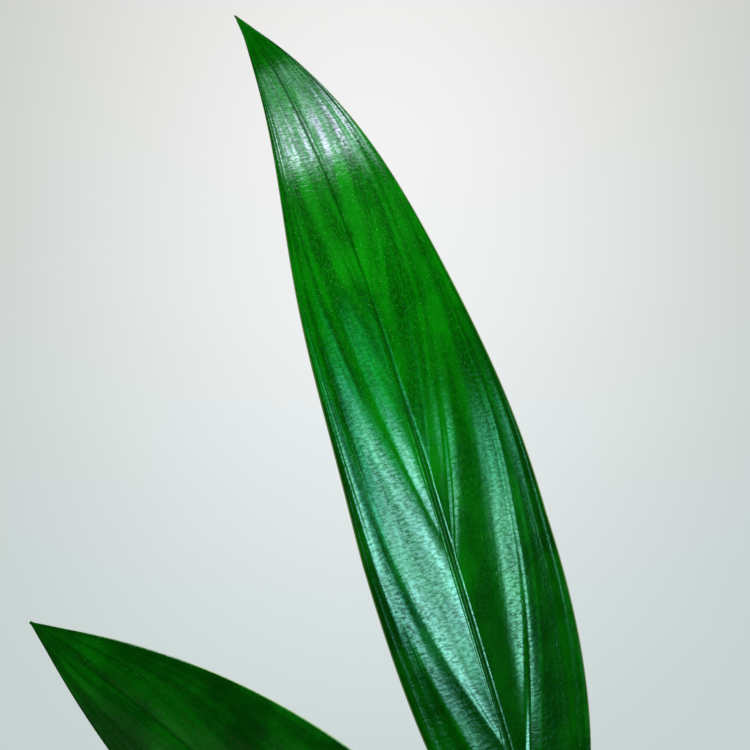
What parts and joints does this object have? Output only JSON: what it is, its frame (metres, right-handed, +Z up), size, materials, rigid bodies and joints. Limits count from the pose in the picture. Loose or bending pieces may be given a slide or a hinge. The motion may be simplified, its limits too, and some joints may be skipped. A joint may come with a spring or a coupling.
{
  "type": "potted pothos",
  "caption": "Potted pothos with narrow pointed glossy green leaves on slender stalks, growing from short vines in a plain clay pot.",
  "frame": {"origin": "centre of the pot's flat underside", "axes": "+Z up; the leaf faces of the picture look along -Y and the tall leaf leans towards -X"},
  "size_m": [0.4925, 0.4667, 0.4369],
  "materials": {
    "terracotta": "fired unglazed clay, matt",
    "potting_mix": "crumbly damp potting mix with perlite and bark",
    "green_vine": "smooth green stem with brown leaf scars",
    "leaf_stalk_green": "smooth, half gloss, light green",
    "glossy_leaf_green": "thick waxy leaf, deep green and glossy above, paler below",
    "young_leaf_green": "soft young leaf, light green, half gloss",
    "root_brown": "dry brown root skin, matt"
  },
  "bodies": {
    "root": {"pot": "terracotta", "potting_soil": "potting_mix", "vine_rear": "green_vine", "vine_right": "green_vine", "vine_left": "green_vine", "leaf_stalk_tall": "leaf_stalk_green", "leaf_stalk_left": "leaf_stalk_green", "leaf_stalk_right": "leaf_stalk_green", "leaf_stalk_front_right": "leaf_stalk_green", "leaf_stalk_front_left": "leaf_stalk_green", "leaf_stalk_back": "leaf_stalk_green", "leaf_stalk_back_left": "leaf_stalk_green", "leaf_stalk_low_left": "leaf_stalk_green", "leaf_stalk_back_right": "leaf_stalk_green", "leaf_stalk_young": "leaf_stalk_green", "leaf_blade_tall": "glossy_leaf_green", "leaf_blade_left": "glossy_leaf_green", "leaf_blade_right": "glossy_leaf_green", "leaf_blade_front_right": "glossy_leaf_green", "leaf_blade_front_left": "glossy_leaf_green", "leaf_blade_back": "glossy_leaf_green", "leaf_blade_back_left": "glossy_leaf_green", "leaf_blade_low_left": "glossy_leaf_green", "leaf_blade_back_right": "glossy_leaf_green", "leaf_blade_young": "young_leaf_green", "new_leaf_roll": "young_leaf_green", "aerial_root_1": "root_brown", "aerial_root_2": "root_brown", "aerial_root_3": "root_brown", "aerial_root_4": "root_brown"}
  },
  "joints": []
}
